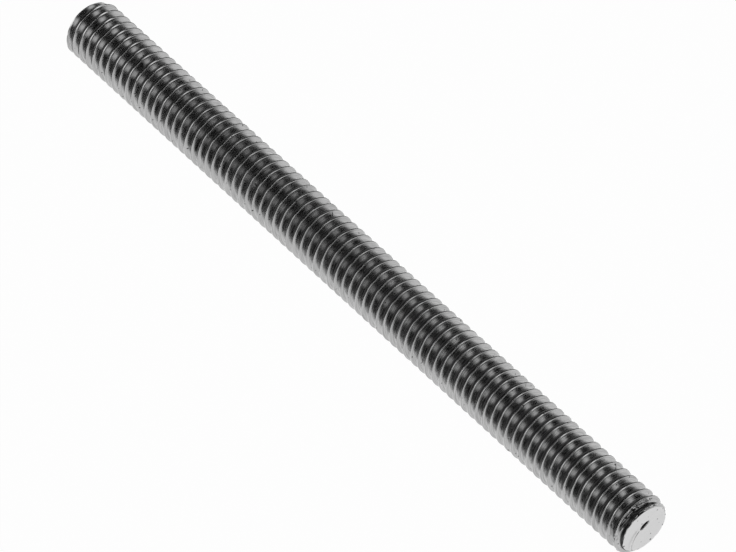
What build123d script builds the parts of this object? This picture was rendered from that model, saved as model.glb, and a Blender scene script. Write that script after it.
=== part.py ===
from build123d import *
from math import ceil, cos, pi, radians, sin, tan
import os

# A fully threaded steel rod, cut from rolled bar and chamfered at both ends. Millimetres.
# It stands on its lower end: the axis is +Z and the origin is the middle of the lower end face.

# The rod
major_diameter = 6.0  # over the crests, M6
pitch = 1.0  # one turn of the single start, right hand
rod_length = 80.0  # from end face to end face

# The thread's form, as in the ISO metric profile
flank_angle = 30.0  # of each flank from the plane across the rod
crest_share = 1 / 8  # of the pitch, the flat on the crest
root_radius_share = 1 / 6  # of the sharp triangle's height, the rounding at the root
crest_angle_at_top = 216.0  # where the crest line meets the plane of the upper end face, from +X

# The ends
end_face_diameter = 5.07  # what the chamfer leaves of the end face, just above the thread's root
chamfer_angle = 45.0  # from the plane of the end face

# The lens-shaped pit that the cut left near the middle of the upper end face
pit_length = 1.15
pit_width = 0.44
pit_depth = 0.5
pit_wall_angle = 8.0  # how far its walls lean in from upright
pit_centre_x = -0.3
pit_centre_y = -0.35

# How the solid is worked out
turns_per_stretch = 8  # the thread is made in stretches of this many turns, joined end to end
points_on_curve = 9  # on each flank and on the root, across one turn
spare_turns = 1  # of thread beyond each end, before the ends are cut

# Follows from the above
crest_radius = major_diameter / 2
sharp_height = pitch / (2 * tan(radians(flank_angle)))
root_radius = root_radius_share * sharp_height
crest_half_width = crest_share * pitch / 2
root_half_width = root_radius * cos(radians(flank_angle))
flank_width = pitch / 2 - crest_half_width - root_half_width
flank_height = flank_width / tan(radians(flank_angle))
root_centre_radius = crest_radius - flank_height + root_radius * sin(radians(flank_angle))
end_face_radius = end_face_diameter / 2


def point_across(radius, distance_along):
    """A point of the transverse section. One turn about the axis is one pitch along it."""
    angle = 2 * pi * distance_along / pitch
    return (radius * cos(angle), radius * sin(angle))


def even_steps(first, last):
    return [first + (last - first) * i / (points_on_curve - 1) for i in range(points_on_curve)]


def flank(side):
    """A spiral from the crest down to the root's rounding, on one side of the crest."""
    crest_edge = side * crest_half_width
    return Spline(
        *(
            point_across(crest_radius - share * flank_height, crest_edge + side * share * flank_width)
            for share in even_steps(0, 1)
        )
    )


def root():
    """The rounded root: an arc of the axial profile, carried round the transverse section."""
    return Spline(
        *(
            point_across(root_centre_radius - (root_radius**2 - offset**2) ** 0.5, pitch / 2 + offset)
            for offset in even_steps(-root_half_width, root_half_width)
        )
    )


def transverse_section():
    """The thread cut straight across the rod, with the middle of its crest on +X."""
    crest = ThreePointArc(
        point_across(crest_radius, -crest_half_width),
        point_across(crest_radius, 0),
        point_across(crest_radius, crest_half_width),
    )
    return Face(Wire([crest, flank(1), root(), flank(-1)]))


def long_thread():
    """The section twisted along the axis, a little longer than the rod at both ends."""
    stretch_length = turns_per_stretch * pitch
    stretches = ceil((rod_length + 2 * spare_turns * pitch) / stretch_length)
    stretch = Solid.extrude_linear_with_rotation(
        transverse_section(), (0, 0, 0), (0, 0, stretch_length), 360 * turns_per_stretch
    )
    pieces = [Pos(0, 0, i * stretch_length) * stretch for i in range(stretches)]
    thread = pieces[0].fuse(*pieces[1:])
    bottom = -spare_turns * pitch
    crest_angle_at_bottom = crest_angle_at_top - 360 * (rod_length - bottom) / pitch
    return Pos(0, 0, bottom) * Rot(0, 0, crest_angle_at_bottom % 360) * thread


def chamfered_blank():
    """A plain round bar of the rod's length, a little thicker than its crests, with both chamfers."""
    clear_radius = crest_radius + pitch / 4
    chamfer_height = (clear_radius - end_face_radius) * tan(radians(chamfer_angle))
    outline = Polyline(
        (0, 0),
        (end_face_radius, 0),
        (clear_radius, chamfer_height),
        (clear_radius, rod_length - chamfer_height),
        (end_face_radius, rod_length),
        (0, rod_length),
        close=True,
    )
    return revolve(Plane.XZ * make_face(outline), Axis.Z)


def end_pit():
    """The pit's own shape, from its lens-shaped mouth in the upper end face to a smaller floor."""
    lean = pit_depth * tan(radians(pit_wall_angle))
    mouth = Ellipse(pit_length / 2, pit_width / 2)
    floor = Pos(0, 0, -pit_depth) * Ellipse(pit_length / 2 - lean, pit_width / 2 - lean)
    return Pos(pit_centre_x, pit_centre_y, rod_length) * loft([mouth, floor])


threaded_rod = (long_thread() & chamfered_blank()) - end_pit()

os.makedirs("parts", exist_ok=True)
export_step(threaded_rod, "parts/threaded_rod.step")
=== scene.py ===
"""Threaded rod: the finished surface of the steel rod, its studio and its camera.

The rod stands on its lower end, on +Z, in metres. Its thread is one helical surface, closed by
two chamfered ends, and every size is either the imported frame's own or a named value below.
"""

import math

import bpy
import numpy as np
from mathutils import Matrix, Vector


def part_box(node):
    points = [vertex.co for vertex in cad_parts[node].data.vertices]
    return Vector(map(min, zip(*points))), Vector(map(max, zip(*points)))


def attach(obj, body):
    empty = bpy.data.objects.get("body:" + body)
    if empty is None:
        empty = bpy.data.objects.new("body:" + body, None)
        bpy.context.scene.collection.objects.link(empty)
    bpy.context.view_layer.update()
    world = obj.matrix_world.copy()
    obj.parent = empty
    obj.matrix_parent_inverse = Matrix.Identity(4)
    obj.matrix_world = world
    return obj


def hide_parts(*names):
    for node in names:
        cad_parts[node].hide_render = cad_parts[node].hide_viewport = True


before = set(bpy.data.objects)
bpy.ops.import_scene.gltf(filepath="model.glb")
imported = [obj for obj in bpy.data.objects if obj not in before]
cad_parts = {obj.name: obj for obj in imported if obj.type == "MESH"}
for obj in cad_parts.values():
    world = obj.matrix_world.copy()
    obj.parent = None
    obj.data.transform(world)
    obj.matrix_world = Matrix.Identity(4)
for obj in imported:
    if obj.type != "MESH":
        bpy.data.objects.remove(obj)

bl_info = {
    "name": "Threaded Rod",
    "version": (1, 0, 0),
    "blender": (4, 5, 0),
    "location": "3D View > Sidebar > Rod",
    "description": "Builds a fully threaded steel rod with chamfered ends, its finish and a studio",
    "category": "Add Mesh",
}

MM = 0.001
NODE = "threaded_rod"
LOW, HIGH = (np.array(corner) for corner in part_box(NODE))
ROD_BOTTOM = float(LOW[2])
ROD_TOP = float(HIGH[2])
CREST_RADIUS = float(HIGH[0] - LOW[0]) / 2
TURN = 2 * math.pi
# x, y and radius in millimetres of the specks of dirt on the upper end face
FACE_SPECKS = (
    (-2.3, 1.1, 0.10),
    (-1.45, 2.0, 0.08),
    (-1.5, 0.6, 0.06),
    (0.25, 2.2, 0.10),
    (-0.15, 1.5, 0.06),
    (2.3, -0.7, 0.10),
)


# ---------------------------------------------------------------------------------------------
# Sizes and colours


class RodSizes(bpy.types.PropertyGroup):
    """The thread's form and the shape of the two ends."""

    pitch: bpy.props.FloatProperty(
        name="Pitch",
        description="Distance along the rod for one turn of the thread",
        default=1.0 * MM,
        unit="LENGTH",
        precision=5,
    )
    flank_angle: bpy.props.FloatProperty(
        name="Flank angle",
        description="Angle of each flank from the plane across the rod",
        default=math.radians(30),
        subtype="ANGLE",
    )
    crest_share: bpy.props.FloatProperty(
        name="Crest width",
        description="Width of the flat on the crest, as a share of the pitch",
        default=1 / 8,
        subtype="FACTOR",
    )
    crest_rounding: bpy.props.FloatProperty(
        name="Crest rounding",
        description="Radius of the crest's two worn corners, as a share of the pitch",
        default=0.08,
        subtype="FACTOR",
    )
    root_radius_share: bpy.props.FloatProperty(
        name="Root radius",
        description="Radius of the root, as a share of the sharp thread's height",
        default=1 / 6,
        subtype="FACTOR",
    )
    crest_angle_at_top: bpy.props.FloatProperty(
        name="Crest angle",
        description="Where the crest line meets the plane of the upper end face, from +X",
        default=math.radians(216),
        subtype="ANGLE",
    )
    end_face_radius: bpy.props.FloatProperty(
        name="End face radius",
        description="Radius of the end faces, inside their chamfers",
        default=2.535 * MM,
        unit="LENGTH",
        precision=5,
    )
    chamfer_slope: bpy.props.FloatProperty(
        name="Chamfer slope",
        description="Height of the chamfers for each unit of their width",
        default=1.0,
    )
    pit_length: bpy.props.FloatProperty(
        name="Pit length",
        description="Length of the lens-shaped pit in the upper end face",
        default=1.15 * MM,
        unit="LENGTH",
        precision=5,
    )
    pit_width: bpy.props.FloatProperty(
        name="Pit width",
        description="Width of the pit in the upper end face",
        default=0.56 * MM,
        unit="LENGTH",
        precision=5,
    )
    pit_depth: bpy.props.FloatProperty(
        name="Pit depth",
        description="Depth of the pit in the upper end face",
        default=0.5 * MM,
        unit="LENGTH",
        precision=5,
    )
    pit_place: bpy.props.FloatVectorProperty(
        name="Pit place",
        description="Middle of the pit, from the rod's axis",
        default=(-0.3 * MM, -0.35 * MM),
        size=2,
        subtype="TRANSLATION",
        precision=5,
    )
    crease_depth: bpy.props.FloatProperty(
        name="Crease depth",
        description="Depth of the curved crease that runs from the pit to the rim",
        default=0.08 * MM,
        unit="LENGTH",
        precision=5,
    )


class RodFinish(bpy.types.PropertyGroup):
    """The colours and the polish of the steel."""

    steel: bpy.props.FloatVectorProperty(
        name="Steel",
        description="Colour of the rolled flanks and crests",
        default=(0.68, 0.68, 0.68),
        size=3,
        subtype="COLOR",
        min=0,
        max=1,
    )
    # Painted shade: the near-black colour that the thread's roots are painted with, where shade falls.
    root: bpy.props.FloatVectorProperty(
        name="Root",
        description="Colour of the oily film in the thread's roots",
        default=(0.05, 0.05, 0.05),
        size=3,
        subtype="COLOR",
        min=0,
        max=1,
    )
    cut: bpy.props.FloatVectorProperty(
        name="Cut face",
        description="Colour of the clean end faces",
        default=(0.84, 0.84, 0.84),
        size=3,
        subtype="COLOR",
        min=0,
        max=1,
    )
    # Colour of the specks of dirt, and also of the painted shade in the pit of the upper end face.
    dirt_and_pit_shade: bpy.props.FloatVectorProperty(
        name="Dirt",
        description="Colour of the specks of dirt",
        default=(0.03, 0.03, 0.03),
        size=3,
        subtype="COLOR",
        min=0,
        max=1,
    )
    polish: bpy.props.FloatProperty(
        name="Roughness",
        description="Roughness of the rolled steel",
        default=0.2,
        subtype="FACTOR",
    )
    cut_polish: bpy.props.FloatProperty(
        name="Cut roughness",
        description="Roughness of the end faces",
        default=0.38,
        subtype="FACTOR",
    )
    streak_depth: bpy.props.FloatProperty(
        name="Streak depth",
        description="Depth of the fine streaks along the thread",
        default=0.0008 * MM,
        unit="LENGTH",
        precision=6,
    )


class Studio(bpy.types.PropertyGroup):
    """The camera, the floor and the light."""

    camera_height: bpy.props.FloatProperty(
        name="Aim height",
        description="Height of the point on the rod's axis that the camera looks at",
        default=41.7 * MM,
        unit="LENGTH",
        precision=5,
    )
    camera_distance: bpy.props.FloatProperty(
        name="Distance",
        description="Distance from that point to the camera",
        default=545.5 * MM,
        unit="LENGTH",
        precision=4,
    )
    camera_elevation: bpy.props.FloatProperty(
        name="Elevation",
        description="Height of the camera above the horizon, as an angle",
        default=math.radians(30.4),
        subtype="ANGLE",
    )
    camera_roll: bpy.props.FloatProperty(
        name="Roll",
        description="Turn of the camera about its own sight line",
        default=math.radians(132.26),
        subtype="ANGLE",
    )
    lens: bpy.props.FloatProperty(
        name="Lens",
        description="Focal length of the camera",
        default=290.8,
        subtype="DISTANCE_CAMERA",
    )
    shift: bpy.props.FloatVectorProperty(
        name="Shift",
        description="Shift of the picture, as a share of its width",
        default=(0.00025, 0.0036),
        size=2,
        precision=5,
    )
    floor_radius: bpy.props.FloatProperty(
        name="Floor radius",
        description="Radius of the round floor",
        default=6.0,
        unit="LENGTH",
    )
    floor: bpy.props.FloatVectorProperty(
        name="Floor",
        description="Colour of the floor",
        default=(0.90, 0.90, 0.90),
        size=3,
        subtype="COLOR",
        min=0,
        max=1,
    )
    flag: bpy.props.FloatProperty(
        name="Dark ceiling",
        description="Brightness of the dark ceiling and the dark fan",
        default=0.01,
    )
    window: bpy.props.FloatProperty(
        name="Side window",
        description="How much brighter than white the flag is where the steel's left side sees it",
        default=1.2,
    )
    strip: bpy.props.FloatProperty(
        name="Strip lights",
        description="Brightness of the two light strips in the fan",
        default=1.35,
    )


# ---------------------------------------------------------------------------------------------
# The rod's shape


def thread_radius(sizes, phase):
    """Radius of the thread at a phase, which is 0 in the middle of the crest and 0.5 in the root.

    The crest is flat. A small arc leads from it to the straight flank, and a larger arc joins
    the flank to its neighbour in the root. Also gives the slope of radius over height.
    """
    pitch = sizes.pitch
    tangent = math.tan(sizes.flank_angle)
    steep = math.pi / 2 - sizes.flank_angle
    crest_half = sizes.crest_share * pitch / 2
    corner = sizes.crest_rounding * pitch
    corner_start = crest_half - corner * math.tan(steep / 2)
    corner_end = corner_start + corner * math.sin(steep)
    root = sizes.root_radius_share * pitch / (2 * tangent)
    root_start = pitch / 2 - root * math.cos(sizes.flank_angle)
    root_centre = (
        CREST_RADIUS - (root_start - crest_half) / tangent + root * math.sin(sizes.flank_angle)
    )

    wrapped = phase - np.round(phase)
    away = np.abs(wrapped) * pitch
    on_corner = np.clip(away - corner_start, 0, corner * math.sin(steep))
    on_root = np.clip(pitch / 2 - away, 0, root * math.cos(sizes.flank_angle))
    corner_rise = np.sqrt(corner**2 - on_corner**2)
    root_rise = np.sqrt(root**2 - on_root**2)
    radius = np.where(
        away < corner_end,
        CREST_RADIUS - corner + corner_rise,
        np.where(
            away < root_start,
            CREST_RADIUS - (away - crest_half) / tangent,
            root_centre - root_rise,
        ),
    )
    slope = np.where(
        away < corner_end,
        -on_corner / corner_rise,
        np.where(away < root_start, -1 / tangent, -on_root / root_rise),
    )
    return radius, slope * np.sign(wrapped)


def profile_phases(sizes):
    """The phases where one turn's profile has points: both ends and the middle of each arc."""
    pitch = sizes.pitch
    steep = math.pi / 2 - sizes.flank_angle
    corner = sizes.crest_rounding
    corner_start = sizes.crest_share / 2 - corner * math.tan(steep / 2)
    corner_end = corner_start + corner * math.sin(steep)
    root = sizes.root_radius_share / (2 * math.tan(sizes.flank_angle))
    root_start = 0.5 - root * math.cos(sizes.flank_angle)
    one_side = np.array(
        [
            corner_start,
            (corner_start + corner_end) / 2,
            corner_end,
            root_start,
            (root_start + 0.5) / 2,
        ]
    )
    return np.concatenate([-one_side[::-1], one_side, [0.5]])


def phase_at(sizes, angle, height):
    """Turns of the thread between the crest line and this place, measured up the rod."""
    from_top = (height - ROD_TOP) / sizes.pitch
    return from_top - (angle - sizes.crest_angle_at_top) / TURN


def nicks(angle, height, seed, count, low, high, depth, width):
    """Small dents, longer round the rod than up it: a sum of bell curves, placed by a seed."""
    random = np.random.default_rng(seed)
    places = zip(
        random.uniform(0, TURN, count),
        random.uniform(low, high, count),
        random.uniform(0.3, 1.0, count) * depth,
        random.uniform(1.0, 4.5, count) * width,
        random.uniform(0.2, 0.5, count) * width,
    )
    total = np.zeros(np.broadcast(angle, height).shape)
    for centre, middle, deep, wide, tall in places:
        across = (np.mod(angle - centre + math.pi, TURN) - math.pi) * CREST_RADIUS
        total += deep * np.exp(-((across / wide) ** 2) - ((height - middle) / tall) ** 2)
    return total


def end_radius(sizes, angle, height):
    """Radius near either end: the thread, cut by the chamfer's cone and a little chipped."""
    radius, _ = thread_radius(sizes, phase_at(sizes, angle, height))
    to_end = np.minimum(ROD_TOP - height, height - ROD_BOTTOM)
    cone = sizes.end_face_radius + to_end / sizes.chamfer_slope
    waviness = 0.02 * MM * np.sin(3 * angle + 1) + 0.012 * MM * np.sin(7 * angle)
    top = height > (ROD_TOP + ROD_BOTTOM) / 2
    band = 0.9 * sizes.pitch
    chips = nicks(angle, height, 11, 190, ROD_TOP - band, ROD_TOP, 0.15 * MM, 0.13 * MM)
    fading = np.clip(to_end / (0.02 * MM), 0, 1)
    return np.minimum(radius, cone + waviness * fading) - np.where(top, chips, 0)


def outward(radius, by_angle, by_height, angle):
    """The unit normal of a surface given by its radius and its slopes over angle and height."""
    turned = by_angle / radius
    normal = np.stack(
        [
            np.cos(angle) + turned * np.sin(angle),
            np.sin(angle) - turned * np.cos(angle),
            -by_height,
        ],
        axis=-1,
    )
    return normal / np.linalg.norm(normal, axis=-1, keepdims=True)


def around(radius, angle, height):
    """Points from cylinder coordinates."""
    return np.stack([radius * np.cos(angle), radius * np.sin(angle), height], axis=-1)


def quads_to_triangles(a, b, c, d):
    """Two triangles for each quad, without those that have lost a corner to a shared point."""
    triangles = np.concatenate(
        [np.stack([a, b, c], axis=-1).reshape(-1, 3), np.stack([a, c, d], axis=-1).reshape(-1, 3)]
    )
    first, second, third = triangles.T
    return triangles[(first != second) & (second != third) & (third != first)]


def thread_body(sizes, columns, low, high):
    """The thread between two heights. Its rows follow the helix, so its edges stay crisp.

    Row n has a fixed phase and climbs one pitch in a turn, where it meets row n + points in a
    turn. Points past either height are gathered to the rim there, one for each column.
    """
    phases = profile_phases(sizes)
    per_turn = len(phases)
    turns = int(math.ceil((high - low) / sizes.pitch)) + 3
    start = math.floor(float(phase_at(sizes, 0.0, low))) - 1
    row = np.arange(per_turn * turns)
    row_phase = start + row // per_turn + phases[row % per_turn]
    column = np.arange(columns)
    angle = (column * TURN / columns)[:, None]
    height = (row_phase - phase_at(sizes, angle, 0.0)) * sizes.pitch

    below, above = height <= low, height >= high
    number = 2 * columns + column[:, None] * len(row) + row[None, :]
    number = np.where(below, column[:, None], number)
    number = np.where(above, columns + column[:, None], number)
    seam = np.concatenate([number[0, per_turn:], np.full(per_turn, columns)])
    number = np.concatenate([number, seam[None, :]])

    height = np.clip(height, low, high)
    phase = phase_at(sizes, angle, height)
    radius, slope = thread_radius(sizes, phase)
    points = around(radius, angle, height).reshape(-1, 3)
    normals = outward(radius, -slope * sizes.pitch / TURN, slope, angle).reshape(-1, 3)
    rims = []
    for level in (low, high):
        rim_radius, rim_slope = thread_radius(sizes, phase_at(sizes, angle[:, 0], level))
        rim_normal = outward(
            rim_radius, -rim_slope * sizes.pitch / TURN, rim_slope, angle[:, 0]
        )
        rims.append((around(rim_radius, angle[:, 0], np.full(columns, level)), rim_normal))
    points = np.concatenate([rims[0][0], rims[1][0], points])
    normals = np.concatenate([rims[0][1], rims[1][1], normals])
    triangles = quads_to_triangles(
        number[:-1, :-1], number[1:, :-1], number[1:, 1:], number[:-1, 1:]
    )
    return points, normals, triangles


def end_zone(sizes, columns, from_height, to_height, rows):
    """The last turn of the rod: rings of twice as many columns, from the body's rim to the end."""
    step = 0.5 * MM / 100
    angle = (np.arange(2 * columns) * TURN / (2 * columns))[None, :]
    share = (np.arange(1, rows + 1) / rows)[:, None]
    height = from_height + (to_height - from_height) * share
    radius = end_radius(sizes, angle, height)
    inward = np.sign(from_height - to_height)
    by_angle = (
        end_radius(sizes, angle + step / CREST_RADIUS, height)
        - end_radius(sizes, angle - step / CREST_RADIUS, height)
    ) / (2 * step / CREST_RADIUS)
    lower = np.where(inward < 0, height - 2 * step, height)
    by_height = (
        end_radius(sizes, angle, lower + 2 * step) - end_radius(sizes, angle, lower)
    ) / (2 * step)
    full_angle = np.broadcast_to(angle, radius.shape)
    points = around(radius, full_angle, np.broadcast_to(height, radius.shape))
    normals = outward(radius, by_angle, by_height, full_angle)
    return points, normals, full_angle


def face_height(sizes, x, y, detailed):
    """Height of an end face above its own plane: turning marks, and on the upper one the pit.

    The pit is a lens with steep walls. The crease is a shallow groove along an arc of a circle
    from the pit to the rim, and the face swells a little on the inner side of it.
    """
    distance = np.hypot(x, y)
    to_rim = np.clip((sizes.end_face_radius - distance) / (0.15 * MM), 0, 1)
    marks = 0.0006 * MM * (np.sin(distance / (0.045 * MM)) - 1) * to_rim
    if not detailed:
        return marks
    across = (x - sizes.pit_place[0]) / (sizes.pit_length / 2)
    along = (y - sizes.pit_place[1]) / (sizes.pit_width / 2)
    bend = along - 0.25 * (across**2 - 0.5)
    inside = np.clip((1 - across**2 - bend**2) / 0.35, 0, 1)
    pit = -sizes.pit_depth * inside

    centre_x, centre_y, bend_radius = 0.15 * MM, 1.65 * MM, 2.05 * MM
    from_arc = np.hypot(x - centre_x, y - centre_y) - bend_radius
    turn = np.arctan2(x - centre_x, -(y - centre_y))
    on_arc = np.clip((turn - 0.02) / 0.2, 0, 1) * np.clip((1.75 - turn) / 0.2, 0, 1)
    groove = -np.exp(-((from_arc / (0.07 * MM)) ** 2))
    swell = 0.9 * np.exp(-(((from_arc - 0.28 * MM) / (0.22 * MM)) ** 2))
    crease = sizes.crease_depth * (groove + swell) * on_arc * to_rim
    rolling = 0.004 * MM * np.sin(x / (0.9 * MM) + 0.6) * np.cos(y / (0.7 * MM)) * to_rim
    dish = -0.06 * MM * (1 - (distance / sizes.end_face_radius) ** 2)
    return marks + pit + crease + rolling + dish


def end_cap(sizes, rim_radius, angle, level, up, rings, detailed):
    """An end face: rings that shrink from the rim to a point on the axis, on the face's height."""
    share = 1 - (np.arange(1, rings + 1) / (rings + 1))[:, None]
    radius = rim_radius[None, :] * share
    full_angle = np.broadcast_to(angle[None, :], radius.shape)
    x, y = radius * np.cos(full_angle), radius * np.sin(full_angle)
    x, y = np.append(x.ravel(), 0.0), np.append(y.ravel(), 0.0)
    step = 0.01 * MM
    rise = face_height(sizes, x, y, detailed)
    by_x = (face_height(sizes, x + step, y, detailed) - face_height(sizes, x - step, y, detailed)) / (
        2 * step
    )
    by_y = (face_height(sizes, x, y + step, detailed) - face_height(sizes, x, y - step, detailed)) / (
        2 * step
    )
    points = np.stack([x, y, level + up * rise], axis=-1)
    normals = np.stack([-by_x, -by_y, np.ones_like(x)], axis=-1) * [1, 1, up]
    normals /= np.linalg.norm(normals, axis=-1, keepdims=True)
    return points, normals


def ring_faces(outer, inner, up):
    """Triangles between two closed rings of point numbers, facing out when up is 1."""
    next_outer, next_inner = np.roll(outer, -1), np.roll(inner, -1)
    if up > 0:
        return quads_to_triangles(outer, next_outer, next_inner, inner)
    return quads_to_triangles(outer, inner, next_inner, next_outer)


def rod_surface(sizes):
    """The whole rod as points, triangles and one normal for each corner of each triangle."""
    columns = 84
    zone = 1.25 * sizes.pitch
    body_low, body_high = ROD_BOTTOM + zone, ROD_TOP - zone
    points, normals, triangles = thread_body(sizes, columns, body_low, body_high)
    all_points, all_normals = [points], [normals]
    all_triangles, all_corners = [triangles], [normals[triangles]]
    count = len(points)
    rim = np.arange(columns)
    ends = (
        (1, rim + columns, body_high, ROD_TOP, 52, 40, True),
        (-1, rim, body_low, ROD_BOTTOM, 26, 8, False),
    )
    for up, coarse, start, stop, rows, rings, detailed in ends:
        zone_points, zone_normals, angle = end_zone(sizes, columns, start, stop, rows)
        numbers = count + np.arange(rows * 2 * columns).reshape(rows, 2 * columns)
        first = numbers[0]
        even, odd, following = first[0::2], first[1::2], np.roll(first[0::2], -1)
        following_coarse = np.roll(coarse, -1)
        join = np.concatenate(
            [
                np.stack([coarse, following_coarse, odd], axis=-1),
                np.stack([coarse, odd, even], axis=-1),
                np.stack([following_coarse, following, odd], axis=-1),
            ]
        )
        if up < 0:
            join = join[:, ::-1]
        side = np.concatenate([join] + [ring_faces(a, b, up) for a, b in zip(numbers, numbers[1:])])
        all_points.append(zone_points.reshape(-1, 3))
        all_normals.append(zone_normals.reshape(-1, 3))
        known = np.concatenate(all_normals)
        all_triangles.append(side)
        all_corners.append(known[side])
        count += zone_points.size // 3

        rim_radius = np.hypot(zone_points[-1, :, 0], zone_points[-1, :, 1])
        cap_points, cap_normals = end_cap(
            sizes, rim_radius, angle[-1], stop, up, rings, detailed
        )
        cap_numbers = count + np.arange(rings * 2 * columns).reshape(rings, 2 * columns)
        centre = count + rings * 2 * columns
        loops = np.concatenate([numbers[-1:], cap_numbers])
        last = cap_numbers[-1]
        fan = np.stack([last, np.roll(last, -1), np.full(len(last), centre)], axis=-1)
        if up < 0:
            fan = fan[:, ::-1]
        cap = np.concatenate([ring_faces(a, b, up) for a, b in zip(loops, loops[1:])] + [fan])
        all_points.append(cap_points)
        all_normals.append(cap_normals)
        flat = np.concatenate(all_normals)
        flat[numbers[-1]] = [0, 0, up]
        all_triangles.append(cap)
        all_corners.append(flat[cap])
        count += len(cap_points)

    points = np.concatenate(all_points)
    triangles = np.concatenate(all_triangles)
    corners = np.concatenate(all_corners)
    used, renumbered = np.unique(triangles, return_inverse=True)
    return points[used], renumbered.reshape(-1, 3), corners


def mesh_object(name, points, triangles, corner_normals=None):
    """A mesh object at the origin, from arrays of points and triangles."""
    mesh = bpy.data.meshes.new(name)
    mesh.vertices.add(len(points))
    mesh.vertices.foreach_set("co", points.astype(np.float32).ravel())
    mesh.loops.add(triangles.size)
    mesh.loops.foreach_set("vertex_index", triangles.astype(np.int32).ravel())
    mesh.polygons.add(len(triangles))
    mesh.polygons.foreach_set("loop_start", np.arange(0, triangles.size, 3, dtype=np.int32))
    mesh.update(calc_edges=True)
    mesh.validate()
    mesh.shade_smooth()
    if corner_normals is not None:
        mesh.normals_split_custom_set(corner_normals.reshape(-1, 3).astype(np.float32))
    piece = bpy.data.objects.new(name, mesh)
    bpy.context.scene.collection.objects.link(piece)
    return piece


# ---------------------------------------------------------------------------------------------
# Shader maths


class Value:
    """A number socket that adds Math nodes when Python's operators are used on it."""

    def __init__(self, tree, socket):
        self.tree = tree
        self.socket = socket

    def _math(self, operation, *values):
        node = self.tree.nodes.new("ShaderNodeMath")
        node.operation = operation
        for slot, value in zip(node.inputs, values):
            if isinstance(value, Value):
                self.tree.links.new(value.socket, slot)
            else:
                slot.default_value = value
        return Value(self.tree, node.outputs[0])

    def __add__(self, other):
        return self._math("ADD", self, other)

    def __radd__(self, other):
        return self._math("ADD", other, self)

    def __sub__(self, other):
        return self._math("SUBTRACT", self, other)

    def __rsub__(self, other):
        return self._math("SUBTRACT", other, self)

    def __mul__(self, other):
        return self._math("MULTIPLY", self, other)

    def __rmul__(self, other):
        return self._math("MULTIPLY", other, self)

    def __truediv__(self, other):
        return self._math("DIVIDE", self, other)

    def __pow__(self, other):
        return self._math("POWER", self, other)

    def sine(self):
        return self._math("SINE", self)

    def cosine(self):
        return self._math("COSINE", self)

    def root(self):
        return self._math("SQRT", self)

    def size(self):
        return self._math("ABSOLUTE", self)

    def angle_with(self, other):
        return self._math("ARCTAN2", self, other)

    def at_least(self, other):
        return self._math("MAXIMUM", self, other)

    def at_most(self, other):
        return self._math("MINIMUM", self, other)


class Shading:
    """The node tree of one material or world."""

    def __init__(self, owner):
        owner.use_nodes = True
        self.tree = owner.node_tree
        self.tree.nodes.clear()

    def node(self, kind, settings=None, inputs=None):
        """Any node: its type, its settings, and the values or links of its sockets."""
        made = self.tree.nodes.new(kind)
        for key, value in (settings or {}).items():
            setattr(made, key, value)
        for key, value in (inputs or {}).items():
            slot = made.inputs[key]
            if isinstance(value, Value):
                value = value.socket
            if isinstance(value, bpy.types.NodeSocket):
                self.tree.links.new(value, slot)
            else:
                slot.default_value = value
        return made

    def value(self, made, output=0):
        return Value(self.tree, made.outputs[output])

    def ramp(self, value, low, high, smooth=True):
        """0 below low, 1 above high, and an even or soft climb between them."""
        made = self.node(
            "ShaderNodeMapRange",
            {"interpolation_type": "SMOOTHSTEP" if smooth else "LINEAR"},
            {"Value": value, "From Min": low, "From Max": high},
        )
        return self.value(made)

    def noise(self, vector, scale, detail=2.0, roughness=0.5, fourth=None):
        """A noise between 0 and 1, in three dimensions, or in four with a fourth value."""
        inputs = {"Vector": vector, "Scale": scale, "Detail": detail, "Roughness": roughness}
        if fourth is not None:
            inputs["W"] = fourth
        made = self.node(
            "ShaderNodeTexNoise",
            {"noise_dimensions": "3D" if fourth is None else "4D"},
            inputs,
        )
        return self.value(made)

    def vector(self, x, y, z):
        made = self.node("ShaderNodeCombineXYZ", inputs={"X": x, "Y": y, "Z": z})
        return made.outputs[0]

    def blend(self, share, first, second):
        """A colour that goes from the first to the second."""
        made = self.node("ShaderNodeMix", {"data_type": "RGBA"}, {0: share, 6: first, 7: second})
        return made.outputs[2]


def colour(values):
    return (*values, 1.0)


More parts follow.
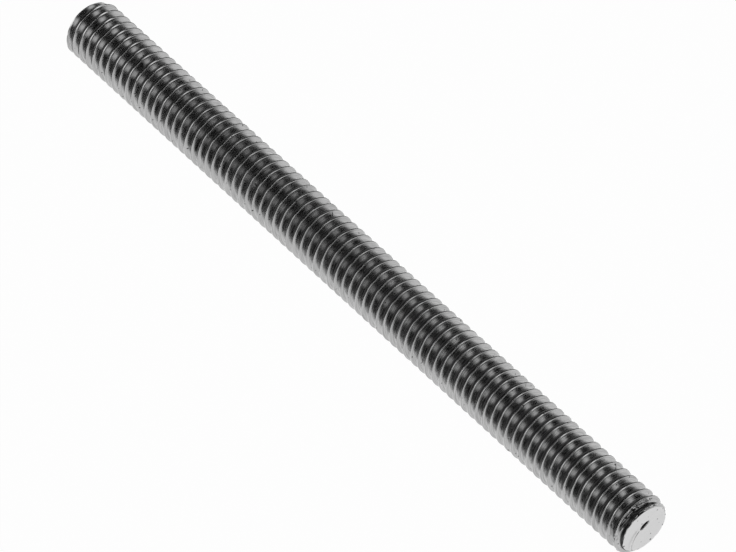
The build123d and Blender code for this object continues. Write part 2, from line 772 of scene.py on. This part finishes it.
def steel_material(sizes, finish):
    """Bright rolled steel: streaks along the thread, painted shade in the roots and in the pit of the
    upper end face, clean cut faces.

    The streaks are a noise over the sine and cosine of the thread's phase, so that they run
    along the helix without a seam, and over the place round the rod.
    """
    material = bpy.data.materials.new("rolled_steel")
    shading = Shading(material)
    place = shading.node("ShaderNodeTexCoord").outputs["Object"]
    parts = shading.node("ShaderNodeSeparateXYZ", inputs={"Vector": place})
    x, y, z = (shading.value(parts, axis) for axis in range(3))
    radius = (x * x + y * y).root()
    phase = z * (TURN / sizes.pitch) - y.angle_with(x)
    scaled = 1 / sizes.pitch

    streak = shading.noise(
        shading.vector(phase.cosine() * 3.2 + z * 1.3 * scaled, phase.sine() * 3.2, x * 0.35 * scaled),
        1.2,
        detail=3.0,
        roughness=0.5,
        fourth=y * 0.35 * scaled,
    )
    mottle = shading.noise(place, 0.9 * scaled, detail=4.0, roughness=0.6)
    grain = shading.noise(place, 9.0 * scaled, detail=3.0, roughness=0.7)
    spots = shading.noise(place, 2.6 * scaled, detail=2.0, roughness=0.4)

    root_radius = CREST_RADIUS - 0.61343 * sizes.pitch
    top = shading.ramp(z, ROD_TOP - 0.36 * MM, ROD_TOP - 0.34 * MM)
    inside = 1 - shading.ramp(
        radius, sizes.end_face_radius - 0.03 * MM, sizes.end_face_radius + 0.02 * MM
    )
    bottom = 1 - shading.ramp(z, ROD_BOTTOM + 0.02 * MM, ROD_BOTTOM + 0.04 * MM)
    cut = (top + bottom).at_most(1.0) * inside
    # Painted shade in the roots: 1 in the thread's root, fading out a fifth of a pitch up the flanks,
    # mottled a little, and never on the cut faces.
    painted_root_shade = 1 - shading.ramp(radius, root_radius, root_radius + 0.2 * sizes.pitch)
    painted_root_shade = (painted_root_shade * (0.8 + 0.5 * mottle)).at_most(1.0) * (1 - cut)
    specks = shading.ramp(spots, 0.70, 0.74)
    # Painted shade in the pit: the pit's walls, below the face and inside its rim, are painted
    # near-black and made not metallic.
    pit = inside * shading.ramp(z, ROD_TOP - 0.9 * MM, ROD_TOP - 0.8 * MM)
    pit = pit * (1 - shading.ramp(z, ROD_TOP - 0.17 * MM, ROD_TOP - 0.09 * MM))
    for place_x, place_y, size in FACE_SPECKS:
        away = ((x - place_x * MM) ** 2 + (y - place_y * MM) ** 2).root()
        spot = top * (1 - shading.ramp(away, size * 0.5 * MM, size * 1.3 * MM))
        specks = specks.at_least(spot)

    # Painted shade: the roots darkened from the steel colour to the root colour.
    base = shading.blend(painted_root_shade.at_most(1.0), colour(finish.steel), colour(finish.root))
    tone = shading.ramp(streak, 0.3, 0.7, smooth=False)
    dull = tuple(0.5 * channel for channel in finish.steel)
    base = shading.blend((1 - tone) * (1 - painted_root_shade).at_least(0.0) * 0.8, base, colour(dull))
    base = shading.blend(cut, base, colour(finish.cut))
    # Specks of dirt, and the painted shade in the pit, in the same near-black colour.
    base = shading.blend((specks * 0.85).at_least(pit), base, colour(finish.dirt_and_pit_shade))

    rough = finish.polish + 0.16 * (tone - 0.5) + 0.12 * (mottle - 0.5)
    rough = rough * (1 - cut) + (finish.cut_polish + 0.1 * (mottle - 0.5)) * cut
    rough = rough + specks * 0.3 + painted_root_shade * 0.1

    relief = streak * (1 - cut) + grain * 0.3 + mottle * cut
    bump = shading.node(
        "ShaderNodeBump",
        inputs={"Strength": 1.0, "Distance": finish.streak_depth, "Height": relief},
    )
    surface = shading.node(
        "ShaderNodeBsdfPrincipled",
        inputs={
            "Base Color": base,
            "Roughness": rough.at_least(0.05),
            # The pit is not metallic, as part of its painted shade.
            "Metallic": 1 - pit,
            "Normal": bump.outputs[0],
        },
    )
    shading.node("ShaderNodeOutputMaterial", inputs={"Surface": surface.outputs[0]})
    return material


def floor_material(studio):
    """A pale floor that looks white to the camera and in the steel, and keeps soft shadows."""
    material = bpy.data.materials.new("pale_floor")
    shading = Shading(material)
    rays = shading.node("ShaderNodeLightPath")
    seen = shading.value(rays, "Is Camera Ray").at_least(shading.value(rays, "Is Glossy Ray"))
    seen = seen.at_least(shading.value(rays, "Is Transmission Ray"))
    plain = shading.node("ShaderNodeBsdfDiffuse", inputs={"Color": colour(studio.floor)})
    glow = shading.node("ShaderNodeEmission", inputs={"Color": (1, 1, 1, 1), "Strength": 1.0})
    mixed = shading.node(
        "ShaderNodeMixShader",
        inputs={0: seen * 0.975, 1: plain.outputs[0], 2: glow.outputs[0]},
    )
    shading.node("ShaderNodeOutputMaterial", inputs={"Surface": mixed.outputs[0]})
    return material


def flag_material(studio):
    """The light that the steel sees from below: white, with a dark fan and two light strips.

    The fan opens from the rod's axis to the front. A strip is a band of angles in it, and it is
    fainter where the middle of the rod looks at it.
    """
    material = bpy.data.materials.new("flag")
    shading = Shading(material)
    place = shading.node("ShaderNodeTexCoord").outputs["Object"]
    parts = shading.node("ShaderNodeSeparateXYZ", inputs={"Vector": place})
    x, y = (shading.value(parts, axis) for axis in range(2))
    bearing = x.angle_with(0.0 - y)
    distance = (x * x + y * y).root()
    first, last = (math.radians(edge) for edge in (-158, 106))
    soft = math.radians(12)
    dark = shading.ramp(bearing, first, first + soft)
    dark = dark * (1 - shading.ramp(bearing, last - soft, last))

    def strip(middle, half):
        middle, half = math.radians(middle), math.radians(half)
        return 1 - shading.ramp((bearing - middle).size(), half * 0.35, half * 1.5)

    faint = shading.ramp(distance, 0.02, 0.045) * (1 - shading.ramp(distance, 0.09, 0.13))
    strips = (strip(-54, 13) + 0.9 * strip(20, 13)) * (1 - 0.75 * faint)
    window = 1 - shading.ramp((bearing + math.radians(168)).size(), 0.12, 0.4)
    light = 1 + studio.window * window
    light = light * (1 - dark) + dark * (studio.flag + studio.strip * strips)
    glow = shading.node("ShaderNodeEmission", inputs={"Color": (1, 1, 1, 1), "Strength": light})
    shading.node("ShaderNodeOutputMaterial", inputs={"Surface": glow.outputs[0]})
    return material


def studio_world(studio):
    """White walls, white to the camera all round, and a dark ceiling for the steel to reflect."""
    world = bpy.data.worlds.new("studio")
    bpy.context.scene.world = world
    shading = Shading(world)
    direction = shading.node("ShaderNodeTexCoord").outputs["Generated"]
    parts = shading.node("ShaderNodeSeparateXYZ", inputs={"Vector": direction})
    x, y, z = (shading.value(parts, axis) for axis in range(3))
    sides = shading.ramp(x, -0.85, -0.65) * (1 - shading.ramp(x, 0.22, 0.44))
    dark = sides * (1 - shading.ramp(y, 0.30, 0.62)) * shading.ramp(z, 0.25, 0.6)
    light = 1 - dark * (1 - studio.flag)
    rays = shading.node("ShaderNodeLightPath")
    light = light.at_least(shading.value(rays, "Is Camera Ray"))
    background = shading.node("ShaderNodeBackground", inputs={"Strength": light})
    shading.node("ShaderNodeOutputWorld", inputs={"Surface": background.outputs[0]})
    return world


# ---------------------------------------------------------------------------------------------
# Operators


class ROD_OT_make_rod(bpy.types.Operator):
    """Make the threaded rod's surface and give it its steel"""

    bl_idname = "rod.make_rod"
    bl_label = "Threaded rod"

    def execute(self, context):
        sizes = context.scene.rod_sizes
        piece = mesh_object("rod_surface", *rod_surface(sizes))
        piece.data.materials.append(steel_material(sizes, context.scene.rod_finish))
        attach(piece, "root")
        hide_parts(NODE)
        return {"FINISHED"}


class ROD_OT_make_stage(bpy.types.Operator):
    """Make the floor, the light and the camera"""

    bl_idname = "rod.make_stage"
    bl_label = "Studio"

    def execute(self, context):
        studio = context.scene.rod_studio
        self.make_floor(studio)
        studio_world(studio)
        self.make_camera(context.scene, studio)
        settings = context.scene.view_settings
        settings.view_transform = "Standard"
        return {"FINISHED"}

    def make_floor(self, studio):
        """A flat disc, and just over it a smaller one, the flag, that only reflections see."""
        sides = 96
        angle = np.arange(sides) * TURN / sides
        rim = around(studio.floor_radius, angle, np.full(sides, ROD_BOTTOM))
        points = np.concatenate([rim, [[0, 0, ROD_BOTTOM]]])
        ring = np.arange(sides)
        triangles = np.stack([ring, np.roll(ring, -1), np.full(sides, sides)], axis=-1)
        floor = mesh_object("floor", points, triangles)
        floor.data.materials.append(floor_material(studio))
        flag = mesh_object("flag", points * [0.1, 0.1, 1] + [0, 0, 0.02 * MM], triangles)
        flag.data.materials.append(flag_material(studio))
        flag.visible_camera = flag.visible_diffuse = flag.visible_shadow = False

    def make_camera(self, scene, studio):
        """A camera on the front side, turned about its own sight line."""
        data = bpy.data.cameras.new("camera")
        data.lens = studio.lens
        data.sensor_width = 36
        data.shift_x, data.shift_y = studio.shift
        data.clip_start = 0.01
        data.clip_end = 100
        camera = bpy.data.objects.new("camera", data)
        scene.collection.objects.link(camera)
        elevation = studio.camera_elevation
        camera.location = (
            0,
            -math.cos(elevation) * studio.camera_distance,
            studio.camera_height + math.sin(elevation) * studio.camera_distance,
        )
        tilt = Matrix.Rotation(math.pi / 2 - elevation, 3, "X")
        roll = Matrix.Rotation(studio.camera_roll, 3, "Z")
        camera.rotation_euler = (tilt @ roll).to_euler()
        scene.camera = camera


class ROD_PT_panel(bpy.types.Panel):
    """Sizes, finish and studio of the rod, with the buttons that make them"""

    bl_idname = "ROD_PT_panel"
    bl_label = "Threaded rod"
    bl_space_type = "VIEW_3D"
    bl_region_type = "UI"
    bl_category = "Rod"

    def draw(self, context):
        layout = self.layout
        for group in (context.scene.rod_sizes, context.scene.rod_finish, context.scene.rod_studio):
            column = layout.column(align=True)
            for name in group.__annotations__:
                column.prop(group, name)
        for operator in (ROD_OT_make_rod, ROD_OT_make_stage):
            layout.operator(operator.bl_idname)


CLASSES = (RodSizes, RodFinish, Studio, ROD_OT_make_rod, ROD_OT_make_stage, ROD_PT_panel)


def register():
    for each in CLASSES:
        bpy.utils.register_class(each)
    bpy.types.Scene.rod_sizes = bpy.props.PointerProperty(type=RodSizes)
    bpy.types.Scene.rod_finish = bpy.props.PointerProperty(type=RodFinish)
    bpy.types.Scene.rod_studio = bpy.props.PointerProperty(type=Studio)


def unregister():
    del bpy.types.Scene.rod_studio
    del bpy.types.Scene.rod_finish
    del bpy.types.Scene.rod_sizes
    for each in reversed(CLASSES):
        bpy.utils.unregister_class(each)


def main():
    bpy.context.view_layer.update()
    register()
    bpy.ops.rod.make_rod()
    bpy.ops.rod.make_stage()


if __name__ == "__main__":
    main()
